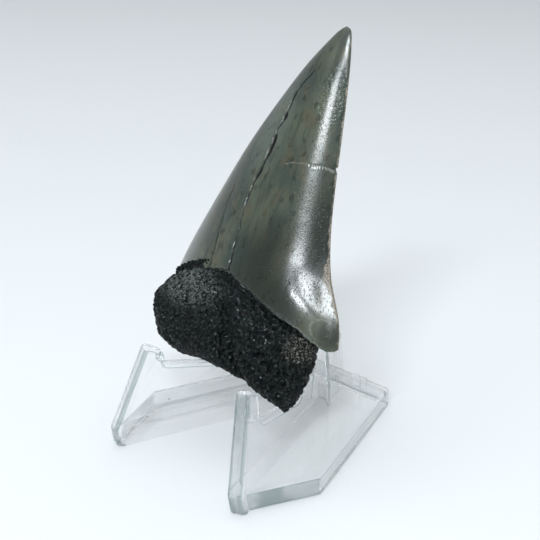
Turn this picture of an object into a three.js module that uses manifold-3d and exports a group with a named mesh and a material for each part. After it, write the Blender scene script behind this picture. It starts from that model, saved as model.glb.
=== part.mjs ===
// A fossil shark tooth resting in a small clear moulded stand.
//
// Millimetres, +Z up. The stand's base plate lies on Z = 0, the prongs point to -Y and the
// spine is at the back. The tooth shows its bulging inner face to -Y and leans back. Each
// piece is made about the spine's hollow, and the group is moved last so that its origin is
// the middle of the footprint.

import * as THREE from "three";
import { mergeVertices } from "three/addons/utils/BufferGeometryUtils.js";
import Module from "manifold-3d";

const wasm = await Module();
wasm.setup();

// Driving dimensions of the stand
const PLATE_THICKNESS = 3.0;
const PLATE_CORNER_RADIUS = 0.9;
const TOE_X = 11.63;
const TOE_Y = -31.91;
const PLATE_FRONT_X = 12.9;
const PLATE_FRONT_Y = -30.2;
const FRONT_CORNER_X = 17.15;
const FRONT_CORNER_Y = -20.39;
const BACK_CORNER_X = 8.14;
const BACK_EDGE_Y = 6.2;
const WALL_TURN = THREE.MathUtils.degToRad(17.76);
const WALL_LEAN = THREE.MathUtils.degToRad(5.57);
const WALL_THICKNESS = 2.0;
const WALL_LENGTH = 32.8;
const JOIN_OVERLAP = 0.9;
const TOE_RADIUS = 2.6;
const PRONG_HEIGHT = 15.4;
const PRONG_FRONT = 4.35;
const PRONG_BACK = 7.4;
const PRONG_RADIUS = 2.2;
const PRONG_BACK_DROP = 1.4;
const PRONG_UNDERCUT = 0.6;
const SEAT_FALL = 0.2;
const NOTCH_BACK = 19.3;
const NOTCH_RADIUS = 1.8;
const SEAT_HEIGHT_RIGHT = 9.9;
const SEAT_HEIGHT_LEFT = 12.2;
const REST_FRONT = 23.5;
const REST_BACK = 26.8;
const REST_HEIGHT = 19.6;
const REST_RADIUS = 1.5;
const SPINE_HEIGHT = 11.8;
const SPINE_INNER_RADIUS = 1.25;
const SPINE_OUTER_RADIUS = 3.6;
const SPINE_Y = -0.2;
const CURVE_STEPS = 5;

// Driving dimensions of the tooth, in its own frame: X across it, Z from the foot to the tip,
// -Y towards the bulging inner face
const TOOTH_FOOT = new THREE.Vector3(0, -18.8, 9.75);
const TOOTH_LEAN = THREE.MathUtils.degToRad(20);
const TIP_X = 2.8;
const TIP_Z = 51.7;
const CROWN_LEFT_X = -17.6;
const CROWN_LEFT_Z = 11.6;
const CROWN_RIGHT_X = 15.2;
const CROWN_RIGHT_Z = 10.3;
const CROWN_INNER_BULGE = 5.6;
const CROWN_OUTER_BULGE = 2.6;
const CROWN_OUTER_ARCH = -1.6;
const CROWN_LIP = 0.5;
const ROOT_INNER_BULGE = 6.4;
const ROOT_OUTER_BULGE = 4.4;
const ROOT_ARCH = 1.8;
const PEBBLE_SIZE = 1.7;
const PEBBLE_HEIGHT = 0.26;
const CROWN_COLUMNS = 24;
const CROWN_ROWS = 34;
const ROOT_COLUMNS = 46;
const ROOT_ROWS = 26;

const clearPlastic = new THREE.MeshStandardMaterial({
  color: 0xe4ebec, roughness: 0.08, metalness: 0, transparent: true, opacity: 0.35,
});
const fossil = new THREE.MeshStandardMaterial({ color: 0x3f4743, roughness: 0.35, metalness: 0 });

// Booleans on closed three.js geometry
function solidOf(geometry) {
  const bare = geometry.clone();
  bare.deleteAttribute("normal");
  bare.deleteAttribute("uv");
  const merged = mergeVertices(bare, 1e-5);
  return new wasm.Manifold(new wasm.Mesh({
    numProp: 3,
    vertProperties: new Float32Array(merged.attributes.position.array),
    triVerts: new Uint32Array(merged.index.array),
  }));
}

function geometryOf(solid) {
  const mesh = solid.getMesh();
  const geometry = new THREE.BufferGeometry();
  geometry.setAttribute("position", new THREE.BufferAttribute(new Float32Array(mesh.vertProperties), 3));
  geometry.setIndex(new THREE.BufferAttribute(new Uint32Array(mesh.triVerts), 1));
  geometry.computeVertexNormals();
  return geometry;
}

function boxSolid(sizeX, sizeY, sizeZ, x, y, z) {
  return solidOf(new THREE.BoxGeometry(sizeX, sizeY, sizeZ).translate(x, y, z));
}

// An outline with straight sides, each corner rounded by its own radius
function roundedOutline(corners) {
  const shape = new THREE.Shape();
  corners.forEach(([x, y, radius], i) => {
    const here = new THREE.Vector2(x, y);
    const [beforeX, beforeY] = corners[(i + corners.length - 1) % corners.length];
    const [afterX, afterY] = corners[(i + 1) % corners.length];
    const toBefore = new THREE.Vector2(beforeX, beforeY).sub(here).normalize();
    const toAfter = new THREE.Vector2(afterX, afterY).sub(here).normalize();
    const halfAngle = Math.acos(toBefore.dot(toAfter)) / 2;
    const reach = radius / Math.tan(halfAngle);
    const start = here.clone().addScaledVector(toBefore, reach);
    const end = here.clone().addScaledVector(toAfter, reach);
    if (i === 0) shape.moveTo(start.x, start.y);
    else shape.lineTo(start.x, start.y);
    if (radius > 0) shape.quadraticCurveTo(here.x, here.y, end.x, end.y);
  });
  shape.closePath();
  return shape;
}

function extruded(shape, depth) {
  return new THREE.ExtrudeGeometry(shape, { depth, bevelEnabled: false, curveSegments: CURVE_STEPS });
}

// The stand's base: two strips that run back along the walls and join behind the spine
function basePlate() {
  const half = [
    [PLATE_FRONT_X, PLATE_FRONT_Y, 0],
    [FRONT_CORNER_X, FRONT_CORNER_Y, PLATE_CORNER_RADIUS],
    [BACK_CORNER_X, BACK_EDGE_Y, PLATE_CORNER_RADIUS],
  ];
  const mirrored = half.map(([x, y, radius]) => [-x, y, radius]).reverse();
  const plate = solidOf(extruded(roundedOutline([...half, ...mirrored]), PLATE_THICKNESS));
  return plate.subtract(spaceBetweenWalls());
}

// The V-shaped opening in the plate. Its sides run inside the walls' thickness.
function spaceBetweenWalls() {
  const run = Math.tan(WALL_TURN);
  const sideX = TOE_X + JOIN_OVERLAP;
  const overrun = 6;
  const depth = PRONG_HEIGHT * 2;
  const space = new THREE.Shape([
    new THREE.Vector2(sideX + overrun * run, TOE_Y - overrun),
    new THREE.Vector2(sideX + (TOE_Y - SPINE_Y) * run, SPINE_Y),
    new THREE.Vector2(-sideX - (TOE_Y - SPINE_Y) * run, SPINE_Y),
    new THREE.Vector2(-sideX - overrun * run, TOE_Y - overrun),
  ]);
  return solidOf(extruded(space, depth).translate(0, 0, -depth / 2));
}

// One upright wall, seen from its side: rounded toe, prong, notch, back rest, and the fall
// to the spine
function wallOutline(seatHeight) {
  const below = -WALL_THICKNESS;
  const seatBack = seatHeight - SEAT_FALL * (NOTCH_BACK - PRONG_BACK);
  const seatFront = Math.min(NOTCH_RADIUS, (PRONG_HEIGHT - seatHeight) / 3);
  return roundedOutline([
    [TOE_RADIUS * 0.6, below, 0],
    [WALL_LENGTH, below, 0],
    [WALL_LENGTH, SPINE_HEIGHT, 0],
    [REST_BACK, REST_HEIGHT, REST_RADIUS],
    [REST_FRONT, REST_HEIGHT, REST_RADIUS],
    [NOTCH_BACK, seatBack, NOTCH_RADIUS],
    [PRONG_BACK - PRONG_UNDERCUT, seatHeight, seatFront],
    [PRONG_BACK, PRONG_HEIGHT - PRONG_BACK_DROP, PRONG_UNDERCUT * 1.5],
    [PRONG_BACK - PRONG_RADIUS, PRONG_HEIGHT, PRONG_RADIUS / 2],
    [PRONG_FRONT, PRONG_HEIGHT, PRONG_RADIUS / 5],
    [TOE_RADIUS * 0.13, TOE_RADIUS * 1.8, TOE_RADIUS],
    [0, TOE_RADIUS * 1.1, TOE_RADIUS],
    [TOE_RADIUS * 0.2, TOE_RADIUS * 0.2, TOE_RADIUS * 0.35],
    [TOE_RADIUS * 0.6, 0, 0],
  ]);
}

// The walls lean towards each other and close in towards the back
function wall(seatHeight) {
  const along = new THREE.Vector3(-Math.sin(WALL_TURN), Math.cos(WALL_TURN), 0);
  const outward = new THREE.Vector3(Math.cos(WALL_TURN), Math.sin(WALL_TURN), 0);
  const rise = outward.clone().multiplyScalar(-Math.sin(WALL_LEAN));
  rise.z = Math.cos(WALL_LEAN);
  const across = new THREE.Vector3().crossVectors(along, rise);
  const place = new THREE.Matrix4().makeBasis(along, rise, across).setPosition(TOE_X, TOE_Y, 0);
  return extruded(wallOutline(seatHeight), WALL_THICKNESS).applyMatrix4(place);
}

function mirroredInX(geometry) {
  const flipped = geometry.index ? geometry.toNonIndexed() : geometry.clone();
  flipped.applyMatrix4(new THREE.Matrix4().makeScale(-1, 1, 1));
  const position = flipped.attributes.position;
  for (let corner = 0; corner < position.count; corner += 3) {
    const first = new THREE.Vector3().fromBufferAttribute(position, corner);
    const second = new THREE.Vector3().fromBufferAttribute(position, corner + 1);
    position.setXYZ(corner, second.x, second.y, second.z);
    position.setXYZ(corner + 1, first.x, first.y, first.z);
  }
  return flipped;
}

// The rounded bend that joins the walls, drawn in with height as the walls are
function spine() {
  const drawnIn = SPINE_HEIGHT * Math.tan(WALL_LEAN);
  const ring = new THREE.LatheGeometry([
    new THREE.Vector2(SPINE_INNER_RADIUS, 0),
    new THREE.Vector2(SPINE_OUTER_RADIUS, 0),
    new THREE.Vector2(SPINE_OUTER_RADIUS - drawnIn, SPINE_HEIGHT),
    new THREE.Vector2(SPINE_INNER_RADIUS - drawnIn, SPINE_HEIGHT),
    new THREE.Vector2(SPINE_INNER_RADIUS, 0),
  ], 28);
  ring.rotateX(Math.PI / 2).translate(0, SPINE_Y, 0);
  const room = SPINE_OUTER_RADIUS * 4;
  const behind = boxSolid(room, room, room * 2, 0, SPINE_Y + room / 2 - JOIN_OVERLAP, 0);
  return solidOf(ring).intersect(behind);
}

function standGeometry() {
  const right = solidOf(wall(SEAT_HEIGHT_RIGHT));
  const left = solidOf(mirroredInX(wall(SEAT_HEIGHT_LEFT)));
  const belowFloor = boxSolid(80, 80, 10, 0, 0, -5);
  return geometryOf(basePlate().add(right).add(left).add(spine()).subtract(belowFloor));
}

// Repeatable lumps: a smooth random value at each corner of a grid of PEBBLE_SIZE cells
function cornerValue(i, j, k) {
  const wave = Math.sin(i * 127.1 + j * 311.7 + k * 74.7) * 43758.5453;
  return 2 * (wave - Math.floor(wave)) - 1;
}

function lumps(x, y, z) {
  const cell = [x, y, z].map((value) => Math.floor(value / PEBBLE_SIZE));
  const inside = [x, y, z].map((value, axis) => {
    const part = value / PEBBLE_SIZE - cell[axis];
    return part * part * (3 - 2 * part);
  });
  let sum = 0;
  for (let corner = 0; corner < 8; corner += 1) {
    const step = [corner & 1, (corner >> 1) & 1, corner >> 2];
    const weight = step.reduce((product, on, axis) => product * (on ? inside[axis] : 1 - inside[axis]), 1);
    sum += weight * cornerValue(cell[0] + step[0], cell[1] + step[1], cell[2] + step[2]);
  }
  return sum;
}

// A closed body between an inner and an outer sheet that share their rim. across runs from
// -1 to 1 over the width, up from 0 to 1 over the height.
function closedBody(columns, rows, innerPoint, outerPoint) {
  const positions = [];
  const index = [];
  const across = (column) => Math.sin((column / columns - 0.5) * Math.PI);
  [innerPoint, outerPoint].forEach((point) => {
    for (let row = 0; row <= rows; row += 1) {
      for (let column = 0; column <= columns; column += 1) {
        positions.push(...point(across(column), row / rows));
      }
    }
  });
  const sheetSize = (columns + 1) * (rows + 1);
  const inner = (row, column) => row * (columns + 1) + column;
  const outer = (row, column) => sheetSize + inner(row, column);
  const quad = (a, b, c, d) => index.push(a, b, c, a, c, d);
  for (let here = 0; here < columns; here += 1) {
    const next = here + 1;
    for (let row = 0; row < rows; row += 1) {
      quad(inner(row, here), inner(row, next), inner(row + 1, next), inner(row + 1, here));
      quad(outer(row, next), outer(row, here), outer(row + 1, here), outer(row + 1, next));
    }
    quad(inner(0, next), inner(0, here), outer(0, here), outer(0, next));
    quad(inner(rows, here), inner(rows, next), outer(rows, next), outer(rows, here));
  }
  const geometry = new THREE.BufferGeometry();
  geometry.setAttribute("position", new THREE.Float32BufferAttribute(positions, 3));
  geometry.setIndex(index);
  const welded = mergeVertices(geometry, 1e-4);
  const kept = [];
  for (let face = 0; face < welded.index.count; face += 3) {
    const [a, b, c] = [0, 1, 2].map((corner) => welded.index.getX(face + corner));
    if (a !== b && b !== c && c !== a) kept.push(a, b, c);
  }
  welded.setIndex(kept);
  return welded;
}

const leftEdge = new THREE.SplineCurve([
  [CROWN_LEFT_X, CROWN_LEFT_Z], [-16.0, 17.2], [-12.7, 25.7], [-9.4, 33.4], [-5.7, 40.4],
  [-2.3, 46.0], [0.9, 50.1], [2.0, 51.2], [TIP_X, TIP_Z],
].map(([x, z]) => new THREE.Vector2(x, z)));
const rightEdge = new THREE.SplineCurve([
  [CROWN_RIGHT_X, CROWN_RIGHT_Z], [14.1, 13.7], [11.1, 18.7], [9.3, 23.8], [8.0, 29.9],
  [6.8, 37.4], [5.5, 44.8], [4.6, 48.7], [3.8, 51.1], [TIP_X, TIP_Z],
].map(([x, z]) => new THREE.Vector2(x, z)));

// How far the enamel's rim rises above the straight line between the crown's two corners
const innerRim = new THREE.SplineCurve([
  [-1, 0], [-0.75, 1.2], [-0.45, 2.7], [-0.12, 4.5], [0.12, 3.5], [0.36, 2.1], [0.64, 0.7],
  [0.88, -1.0], [1, 0],
].map(([across, rise]) => new THREE.Vector2(across, rise)));
const outerRim = new THREE.SplineCurve([
  [-1, 0], [-0.5, -1.0], [0, CROWN_OUTER_ARCH], [0.5, -1.0], [1, 0],
].map(([across, rise]) => new THREE.Vector2(across, rise)));

function riseAt(rim, across) {
  let low = 0;
  let high = 1;
  for (let step = 0; step < 24; step += 1) {
    const middle = (low + high) / 2;
    if (rim.getPoint(middle).x < across) low = middle;
    else high = middle;
  }
  return rim.getPoint(low).y;
}

const mix = THREE.MathUtils.lerp;
const smooth = THREE.MathUtils.smoothstep;

// The enamel crown: a lens across, flatter outside than inside, with an arched lower rim
function crownPoint(bulge, rim, side) {
  return (across, up) => {
    const left = leftEdge.getPoint(up);
    const right = rightEdge.getPoint(up);
    const share = (across + 1) / 2;
    const x = mix(left.x, right.x, share);
    const middle = 1 - across * across;
    const z = mix(left.y, right.y, share) + riseAt(rim, across) * (1 - up) ** 3;
    const halfWidth = (right.x - left.x) / 2;
    const fullWidth = (CROWN_RIGHT_X - CROWN_LEFT_X) / 2;
    const slenderness = mix(1, 1.25, smooth(up, 0, 0.6));
    const lip = 1 - CROWN_LIP / bulge * (1 - smooth(up, 0, 0.03));
    return [x, side * bulge * (halfWidth / fullWidth) * slenderness * middle * lip, z];
  };
}

// The root: a thick body with two lobes, widest below the crown, rounded underneath
function rootPoint(bulge, side, leftHead, rightHead) {
  return (across, up) => {
    const rounding = Math.sqrt(Math.max(0, 1 - across * across));
    const share = (across + 1) / 2;
    const spread = Math.sin(Math.PI * Math.min(1, up * 1.1)) ** 0.8;
    const leftX = mix(-10.8, -15.6, up) - 4.7 * spread;
    const rightX = mix(9.2, 11.8, up) + 0.5 * spread;
    const leftZ = mix(1.15, 12.4, up);
    const rightZ = mix(-0.6, 10.2, up);
    const middle = 1 - across * across;
    const arch = mix(ROOT_ARCH, 5.2, up);
    const x = mix(leftX, rightX, share);
    const z = mix(leftZ, rightZ, share) + arch * middle;
    const foot = Math.sqrt(1 - (1 - Math.min(1, up / 0.2)) ** 2);
    const head = 1 - mix(leftHead, rightHead, share * share) * smooth(up, 0.5, 1);
    const cleft = 1 - 0.2 * Math.exp(-(((x + 2.2) / 1.6) ** 2)) * (1 - smooth(up, 0.35, 0.85));
    const depth = bulge * rounding ** 0.75 * foot * head * cleft * (up < 1 ? 1 : 0);
    const pebbles = PEBBLE_HEIGHT * lumps(x, side * depth, z) * Math.min(1, depth);
    return [x, side * (depth + pebbles), z];
  };
}

function toothGeometry() {
  const crown = closedBody(
    CROWN_COLUMNS, CROWN_ROWS,
    crownPoint(CROWN_INNER_BULGE, innerRim, -1),
    crownPoint(CROWN_OUTER_BULGE, outerRim, 1),
  );
  const root = closedBody(
    ROOT_COLUMNS, ROOT_ROWS,
    rootPoint(ROOT_INNER_BULGE, -1, 0.2, 0.5),
    rootPoint(ROOT_OUTER_BULGE, 1, 0.62, 0.62),
  );
  return geometryOf(solidOf(crown).add(solidOf(root)));
}

function namedMesh(name, geometry, material) {
  const mesh = new THREE.Mesh(geometry, material);
  mesh.name = name;
  return mesh;
}

const stand = namedMesh("stand", standGeometry(), clearPlastic);

const tooth = namedMesh("tooth", toothGeometry(), fossil);
tooth.position.copy(TOOTH_FOOT);
tooth.rotation.x = -TOOTH_LEAN;

const part = new THREE.Group();
part.name = "fossil_tooth_on_stand";
part.add(stand, tooth);

// Origin: the middle of the footprint, on the stand's underside
const middle = new THREE.Box3().setFromObject(part, true).getCenter(new THREE.Vector3());
for (const piece of [stand, tooth]) {
  piece.position.x -= middle.x;
  piece.position.y -= middle.y;
}

export default part;
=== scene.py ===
# A fossil shark tooth that leans back in a small clear moulded stand.
# Sizes are in millimetres and MM turns them into Blender's metres. Places are measured from
# the hollow of the stand's spine, on the floor; -Y is the side of the prongs.
import math
import bmesh
import bpy
import numpy as np
from mathutils import Matrix, Vector


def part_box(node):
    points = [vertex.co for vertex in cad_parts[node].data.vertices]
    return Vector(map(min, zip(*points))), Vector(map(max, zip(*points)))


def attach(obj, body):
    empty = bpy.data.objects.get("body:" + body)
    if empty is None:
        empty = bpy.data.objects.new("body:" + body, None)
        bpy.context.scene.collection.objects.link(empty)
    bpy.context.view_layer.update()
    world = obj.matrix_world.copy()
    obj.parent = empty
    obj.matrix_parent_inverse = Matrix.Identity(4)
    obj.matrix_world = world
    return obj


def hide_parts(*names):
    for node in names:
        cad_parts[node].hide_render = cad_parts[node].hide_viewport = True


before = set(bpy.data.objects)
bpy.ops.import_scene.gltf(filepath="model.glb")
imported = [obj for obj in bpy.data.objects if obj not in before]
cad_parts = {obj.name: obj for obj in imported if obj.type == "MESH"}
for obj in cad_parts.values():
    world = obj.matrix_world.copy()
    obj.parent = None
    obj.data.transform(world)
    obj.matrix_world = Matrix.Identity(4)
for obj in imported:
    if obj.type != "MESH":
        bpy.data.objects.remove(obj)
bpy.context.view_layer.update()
MM = 0.001

# Camera: a long lens, held a little above the tooth and to its right.
# The spine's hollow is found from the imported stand, whose plate ends a known way behind it.
SPINE_TO_BACK_EDGE = 6.2
stand_low, stand_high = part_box("stand")
spine_hollow = Vector((
    (stand_low.x + stand_high.x) / 2,
    stand_high.y - SPINE_TO_BACK_EDGE * MM,
    0,
))
EYE = Vector((90.69, -107.66, 75.67))
CAMERA_AZIMUTH = math.radians(43.67)
CAMERA_ELEVATION = math.radians(20.92)
CAMERA_ROLL = math.radians(0.62)
PICTURE_PIXELS = 540
FOCAL_PIXELS = 1000
SENSOR_WIDTH = 36
NEAREST, FARTHEST = 0.01, 20

camera_data = bpy.data.cameras.new("camera")
camera_data.sensor_width = SENSOR_WIDTH
camera_data.lens = SENSOR_WIDTH * FOCAL_PIXELS / PICTURE_PIXELS
camera_data.clip_start = NEAREST
camera_data.clip_end = FARTHEST
camera = bpy.data.objects.new("camera", camera_data)
bpy.context.scene.collection.objects.link(camera)
back = Vector((
    math.sin(CAMERA_AZIMUTH) * math.cos(CAMERA_ELEVATION),
    -math.cos(CAMERA_AZIMUTH) * math.cos(CAMERA_ELEVATION),
    math.sin(CAMERA_ELEVATION),
))
level_right = Vector((math.cos(CAMERA_AZIMUTH), math.sin(CAMERA_AZIMUTH), 0))
level_up = back.cross(level_right)
right = level_right * math.cos(CAMERA_ROLL) + level_up * math.sin(CAMERA_ROLL)
up = level_up * math.cos(CAMERA_ROLL) - level_right * math.sin(CAMERA_ROLL)
turn = Matrix((right, up, back)).transposed()
camera.matrix_world = Matrix.Translation(spine_hollow + EYE * MM) @ turn.to_4x4()
bpy.context.scene.camera = camera


# Floor: a wide sheet of pale, slightly cool card, laid flat under the tooth and swept up out of
# sight all round. It is some metres wide, so its sizes are in metres, apart from its drop below
# the stand's foot. Its material is the first, so the way that materials are written starts here.
class Socket:
    """An output of a node that arithmetic can be written on."""

    def __init__(self, graph, socket):
        self.graph = graph
        self.socket = socket

    def maths(self, operation, *values):
        return self.graph.node("ShaderNodeMath", {"operation": operation}, list(values))

    def __add__(self, other):
        return self.maths("ADD", self, other)

    def __sub__(self, other):
        return self.maths("SUBTRACT", self, other)

    def __mul__(self, other):
        return self.maths("MULTIPLY", self, other)

    def __truediv__(self, other):
        return self.maths("DIVIDE", self, other)

    def __rsub__(self, other):
        return self.maths("SUBTRACT", other, self)

    def __rtruediv__(self, other):
        return self.maths("DIVIDE", other, self)

    __radd__ = __add__
    __rmul__ = __mul__


class Graph:
    """A node tree that nodes are added to one call at a time."""

    def __init__(self, tree):
        self.tree = tree

    def node(self, kind, settings=None, inputs=None, output=0):
        made = self.tree.nodes.new(kind)
        for key, value in (settings or {}).items():
            setattr(made, key, value)
        named = enumerate(inputs) if isinstance(inputs, list) else (inputs or {}).items()
        for key, value in named:
            self.feed(self.find(made.inputs, key), value)
        return Socket(self, self.find(made.outputs, output))

    def find(self, sockets, key):
        if isinstance(key, int):
            return sockets[key]
        return next(s for s in sockets if key in (s.identifier, s.name) and s.enabled)

    def feed(self, socket, value):
        if isinstance(value, Socket):
            self.tree.links.new(value.socket, socket)
        else:
            socket.default_value = value

    def soft_step(self, value, low, high):
        """0 below low and 1 above high, with a soft rise between."""
        inputs = {"Value": value, "From Min": low, "From Max": high}
        settings = {"interpolation_type": "SMOOTHSTEP"}
        return self.node("ShaderNodeMapRange", settings, inputs, "Result")

    def blend(self, share, first, second):
        """The first colour, with this share of the second over it."""
        inputs = {"Factor_Float": share, "A_Color": first, "B_Color": second}
        return self.node("ShaderNodeMix", {"data_type": "RGBA"}, inputs, "Result_Color")


def new_material(name, constants):
    material = bpy.data.materials.new(name)
    material.use_nodes = True
    shader = material.node_tree.nodes["Principled BSDF"]
    for socket, value in constants.items():
        shader.inputs[socket].default_value = value
    return material, Graph(material.node_tree), shader


def mesh_object(name, mesh, material):
    mesh.materials.clear()
    mesh.materials.append(material)
    made = bpy.data.objects.new(name, mesh)
    bpy.context.scene.collection.objects.link(made)
    return made


def embossed(graph, shader, height, strength, depth):
    """Gives the surface this relief, in which a height of 1 stands for the depth in millimetres."""
    inputs = {"Strength": strength, "Distance": depth * MM, "Height": height}
    graph.feed(shader.inputs["Normal"], graph.node("ShaderNodeBump", {}, inputs, "Normal"))


FLOOR_FLAT = 1.6
FLOOR_SWEEP = 1.4
FLOOR_STEPS = 12
FLOOR_SIDES = 72
FLOOR_DROP = 0.03
CARD_SHADE = (0.84, 0.855, 0.862, 1)
CARD_ROUGHNESS = 0.75
CARD_GRAIN = 900
card, graph, shader = new_material("pale_card", {"Roughness": CARD_ROUGHNESS, "Base Color": CARD_SHADE})
grain = graph.node("ShaderNodeTexNoise", {}, {"Scale": CARD_GRAIN, "Detail": 3}, "Fac")
embossed(graph, shader, grain, 0.02, 0.2)

build = bmesh.new()
loops = []
for step in range(FLOOR_STEPS + 1):
    bend = math.pi / 2 * step / FLOOR_STEPS
    radius = FLOOR_FLAT + FLOOR_SWEEP * math.sin(bend)
    height = FLOOR_SWEEP * (1 - math.cos(bend)) - FLOOR_DROP * MM
    angles = [2 * math.pi * i / FLOOR_SIDES for i in range(FLOOR_SIDES)]
    loops.append([build.verts.new((radius * math.cos(a), radius * math.sin(a), height)) for a in angles])
build.faces.new(loops[0])
for lower, upper in zip(loops, loops[1:]):
    for i in range(FLOOR_SIDES):
        build.faces.new((lower[i], lower[i - 1], upper[i - 1], upper[i]))
floor_mesh = bpy.data.meshes.new("floor")
build.to_mesh(floor_mesh)
build.free()
floor_mesh.shade_smooth()
floor = mesh_object("floor", floor_mesh, card)

# Light: an evenly bright room with a wide ceiling panel, high on the left, for the soft shadow.
# Two small soft panels stand in front, to the right. One is reflected as the bright band down
# the crown, and the other as the bright patch above the crown's right corner.
ROOM_COLOUR = (0.93, 0.965, 1, 1)
ROOM_STRENGTH = 0.4
PANEL_COLOUR = (0.9, 0.96, 1)
SKY_COLOUR = (0.96, 0.98, 1)
SKY_STRENGTH = 0.46
SKY_SPREAD = math.radians(80)
SKY_TURN = (math.radians(-20), math.radians(-15), 0)
TOOTH_MIDDLE = Vector((-2, -14, 28))
world = bpy.data.worlds.new("room")
bpy.context.scene.world = world
world.use_nodes = True
room = world.node_tree.nodes["Background"]
room.inputs["Color"].default_value = ROOM_COLOUR
room.inputs["Strength"].default_value = ROOM_STRENGTH
bpy.context.scene.view_settings.view_transform = "Standard"


def soft_panel(name, azimuth, elevation, distance, width, height, watts):
    """A lamp that faces the tooth, from so many degrees round and up, with its sizes in metres."""
    data = bpy.data.lights.new(name, "AREA")
    data.shape = "RECTANGLE"
    data.size, data.size_y = width, height
    data.energy = watts
    data.color = PANEL_COLOUR
    turned, raised = math.radians(azimuth), math.radians(elevation)
    towards = Vector((
        math.sin(turned) * math.cos(raised), -math.cos(turned) * math.cos(raised), math.sin(raised),
    ))
    lamp = bpy.data.objects.new(name, data)
    bpy.context.scene.collection.objects.link(lamp)
    centre = spine_hollow + TOOTH_MIDDLE * MM
    facing = towards.to_track_quat("Z", "Y").to_matrix().to_4x4()
    lamp.matrix_world = Matrix.Translation(centre + towards * distance) @ facing


soft_panel("front_panel", azimuth=24, elevation=36, distance=0.6, width=0.12, height=0.08, watts=1.3)
soft_panel("side_panel", azimuth=41, elevation=46, distance=0.6, width=0.14, height=0.085, watts=1.25)
soft_panel("ceiling", azimuth=-50, elevation=72, distance=1.0, width=1.2, height=1.2, watts=3.6)
sky_data = bpy.data.lights.new("sky", "SUN")
sky_data.energy = SKY_STRENGTH
sky_data.angle = SKY_SPREAD
sky_data.color = SKY_COLOUR
sky = bpy.data.objects.new("sky", sky_data)
sky.rotation_euler = SKY_TURN
bpy.context.scene.collection.objects.link(sky)

# Stand: one piece of clear acrylic, moulded in a polished tool, so every outer edge is a
# little rounded. Two walls rise from the inner edges of a V-shaped plate and bend into each
# other at the back. Each has a prong at the front, a notch for the root, and a back rest.
PLATE_THICKNESS = 3.0
PLATE_CORNER_RADIUS = 0.9
PLATE_FRONT = (12.9, -30.2)
PLATE_SIDE = (17.15, -20.39)
PLATE_BACK = (8.14, SPINE_TO_BACK_EDGE)
TOE = (11.63, -31.91)
WALL_TURN = math.radians(17.76)
WALL_LEAN = math.radians(5.57)
WALL_THICKNESS = 2.0
WALL_LENGTH = 32.8
JOIN_OVERLAP = 0.9
TOE_RADIUS = 2.6
TOE_SHAPE = [(0.13, 1.8, 1), (-0.15, 1.1, 0.6), (0, 0.1, 0.1), (0.3, 0, 0)]
PRONG_HEIGHT = 15.4
PRONG_FRONT = 4.35
PRONG_BACK = 7.4
PRONG_RADIUS = 2.2
PRONG_BACK_DROP = 1.4
PRONG_UNDERCUT = 0.6
SEAT_FALL = 0.2
NOTCH_BACK = 19.3
NOTCH_RADIUS = 1.8
SEAT_HEIGHT_RIGHT = 9.9
SEAT_HEIGHT_LEFT = 12.2
REST_FRONT = 23.5
REST_BACK = 26.8
REST_HEIGHT = 19.6
REST_RADIUS = 1.5
SPINE_HEIGHT = 11.8
SPINE_INNER_RADIUS = 1.25
SPINE_OUTER_RADIUS = 3.6
SPINE_Y = -0.2
SPINE_OVERRUN = math.radians(14)
SPINE_STEPS = 40
NIB_OUTLINE = [(0.6, -0.3), (3.5, -0.3), (3.3, 0.4), (2.3, 0.2), (1.6, 0.5), (0.8, 0.3)]
NIB_LEVELS = (0.5, 2.8)
NIB_RIM = 0.12
MOULD_RIM = 0.5
RIM_STEPS = 4
CORNER_STEPS = 10
SAME_POINT = 0.02
WELD = 2e-6
SHARPEST_SMOOTH = math.radians(32)
to_frame = Matrix.Translation(spine_hollow) @ Matrix.Scale(MM, 4)


def rounded_outline(corners):
    """The outline through these corners, each rounded off by its own radius."""
    outline = []
    for i, (x, y, radius) in enumerate(corners):
        here = Vector((x, y))
        to_before = (Vector(corners[i - 1][:2]) - here).normalized()
        to_after = (Vector(corners[(i + 1) % len(corners)][:2]) - here).normalized()
        if radius == 0:
            outline.append(here)
            continue
        reach = radius / math.tan(to_before.angle(to_after) / 2)
        start, end = here + to_before * reach, here + to_after * reach
        for step in range(CORNER_STEPS + 1):
            share = step / CORNER_STEPS
            outline.append(start.lerp(here, share).lerp(here.lerp(end, share), share))
    return outline


def inset(outline, distance):
    """The outline drawn in by this distance, which stays bounded at sharp corners."""
    moved = []
    for i, here in enumerate(outline):
        before = (here - outline[i - 1]).normalized()
        after = (outline[(i + 1) % len(outline)] - here).normalized()
        sideways = Vector((-before.y, before.x)) + Vector((-after.y, after.x))
        moved.append(here + sideways * (distance / max(0.3, 1 + before.dot(after))))
    return moved


def without_doubles(outline):
    return [here for i, here in enumerate(outline) if (here - outline[i - 1]).length > SAME_POINT]


def slab(outline, low, high, place, rim=MOULD_RIM):
    """A plate with this outline, counter-clockwise, and rounded rims on both faces."""
    outline = without_doubles(outline)
    rings = []
    for face in (0, 1):
        for step in range(RIM_STEPS + 1):
            bend = math.pi / 2 * (RIM_STEPS - step if face == 0 else step) / RIM_STEPS
            height = rim * (1 - math.sin(bend))
            level = low + height if face == 0 else high - height
            rings.append([(*p, level) for p in inset(outline, rim * (1 - math.cos(bend)))])
    build = bmesh.new()
    loops = [[build.verts.new(place @ Vector(p)) for p in ring] for ring in rings]
    for lower, upper in zip(loops, loops[1:]):
        for i in range(len(lower)):
            build.faces.new((lower[i - 1], lower[i], upper[i], upper[i - 1]))
    build.faces.new(loops[0][::-1])
    build.faces.new(loops[-1])
    return build


def finished(build, name):
    """The built mesh as an object, with its faces pointing outwards."""
    bmesh.ops.recalc_face_normals(build, faces=build.faces)
    mesh = bpy.data.meshes.new(name)
    build.to_mesh(mesh)
    build.free()
    made = bpy.data.objects.new(name, mesh)
    bpy.context.scene.collection.objects.link(made)
    return made


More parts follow.
